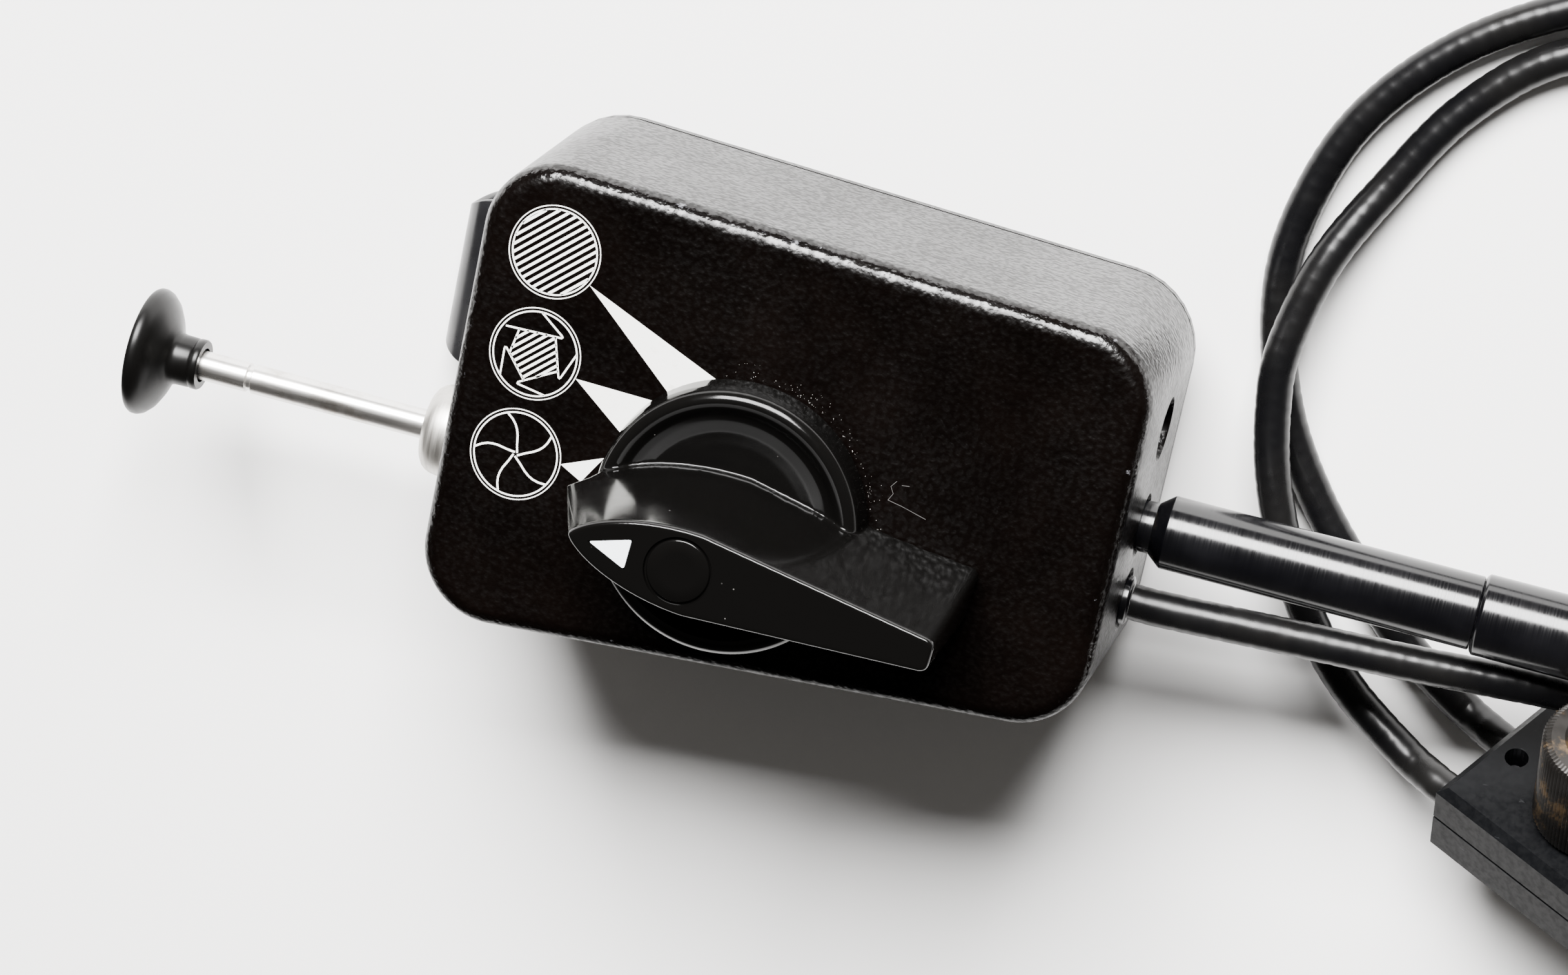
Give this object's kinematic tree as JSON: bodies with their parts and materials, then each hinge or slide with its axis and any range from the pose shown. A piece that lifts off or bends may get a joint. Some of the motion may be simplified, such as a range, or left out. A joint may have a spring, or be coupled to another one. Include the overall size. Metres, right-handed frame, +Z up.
{
  "type": "cable shutter release",
  "caption": "Pocket control box with a plunger, a selector lever and a belt clip, working sheathed cables that end in a coupling block with a knurled screw.",
  "frame": {"origin": "on the surface the box lies on, under the housing's centre, on the belt clip's tongue", "axes": "+X from the plunger to the cable outlets, +Y across the box away from the plunger's side, +Z up through the selector lever"},
  "size_m": [0.2266, 0.1057, 0.062],
  "materials": {
    "wrinkle_paint": "fine wrinkle, satin",
    "clip_lacquer": "satin",
    "steel": "polished",
    "black_screw": "black oxide",
    "black_moulding": "high gloss",
    "brass": "satin",
    "satin_nickel": "satin",
    "black_anodised": "black anodised",
    "sheath_rubber": "matte",
    "white_inlay": "satin",
    "block_anodised": "grey-black anodised, satin",
    "worn_knurl": "black over brass, worn at the edge",
    "cable_sheath": "satin"
  },
  "bodies": {
    "housing": {"front_cover": "wrinkle_paint", "back_plate": "wrinkle_paint", "belt_clip": "clip_lacquer", "clip_rivet_1": "steel", "clip_rivet_2": "steel", "back_screw_1": "black_screw", "back_screw_2": "black_screw", "back_screw_3": "black_screw", "back_screw_4": "black_screw", "guide_screw_1": "black_screw", "guide_screw_2": "black_screw", "plunger_bushing": "satin_nickel", "plunger_nut": "brass", "release_guide": "steel", "port_insert_1": "brass", "port_insert_2": "brass", "port_insert_3": "brass", "tube_neck": "black_anodised", "adjuster_tube": "black_anodised", "adjuster_sleeve": "black_anodised", "aperture_relief": "sheath_rubber", "release_gland": "black_anodised", "release_relief": "sheath_rubber", "shaft_bushing": "brass", "detent_ball": "steel", "detent_spring": "steel", "detent_block": "brass", "detent_screw": "black_screw", "rack_guide": "steel", "block_lower_plate": "block_anodised", "block_upper_plate": "block_anodised", "block_screw_1": "black_screw", "block_screw_2": "black_screw", "cable_ferrule_1": "sheath_rubber", "cable_ferrule_2": "sheath_rubber", "release_cable": "cable_sheath", "aperture_cable": "cable_sheath"},
    "plunger": {"plunger_button": "black_moulding", "plunger_rod": "steel", "release_slider": "brass", "release_wire": "steel", "return_spring": "steel"},
    "selector": {"selector_knob": "black_moulding", "pointer_inlay": "white_inlay", "knob_cap": "black_moulding", "knob_screw": "black_screw", "selector_shaft": "steel", "shaft_ring": "steel", "pinion": "brass", "detent_disc": "steel"},
    "rack": {"aperture_rack": "brass", "aperture_carriage": "brass", "aperture_wire": "steel"},
    "thumbscrew": {"knurled_screw": "worn_knurl"},
    "release_lug_body": {"release_lug": "steel"},
    "aperture_lug_body": {"aperture_lug": "steel"}
  },
  "joints": [
    {"name": "plunger_slide", "type": "slide", "parent": "housing", "child": "plunger", "axis": [1, 0, 0], "range_m": [0, 0.012], "stiffness_N_per_m": 200, "springref_m": -0.004, "deforming": ["return_spring"]},
    {"name": "selector_turn", "type": "hinge", "parent": "housing", "child": "selector", "pos_m": [-0.0038, -0.0063, 0.038], "axis": [0, 0, -1], "range_deg": [0, 58.5]},
    {"name": "rack_slide", "type": "slide", "parent": "housing", "child": "rack", "axis": [1, 0, 0], "range_m": [0, 0.0062]},
    {"name": "thumbscrew_turn", "type": "hinge", "parent": "housing", "child": "thumbscrew", "pos_m": [0.09058, -0.02049, 0.01832], "axis": [-0.0887, 0.8226, 0.5616], "continuous": true},
    {"name": "release_lug_slide", "type": "slide", "parent": "housing", "child": "release_lug_body", "axis": [0.8529, -0.2285, 0.4695], "range_m": [0, 0.012]},
    {"name": "aperture_lug_slide", "type": "slide", "parent": "housing", "child": "aperture_lug_body", "axis": [0.8529, -0.2285, 0.4695], "range_m": [0, 0.0062]}
  ],
  "couplings": [
    {"joint": "rack_slide", "follows": "selector_turn", "m_per_rad": 0.006},
    {"joint": "release_lug_slide", "follows": "plunger_slide", "ratio": 1},
    {"joint": "aperture_lug_slide", "follows": "selector_turn", "m_per_rad": 0.006}
  ]
}
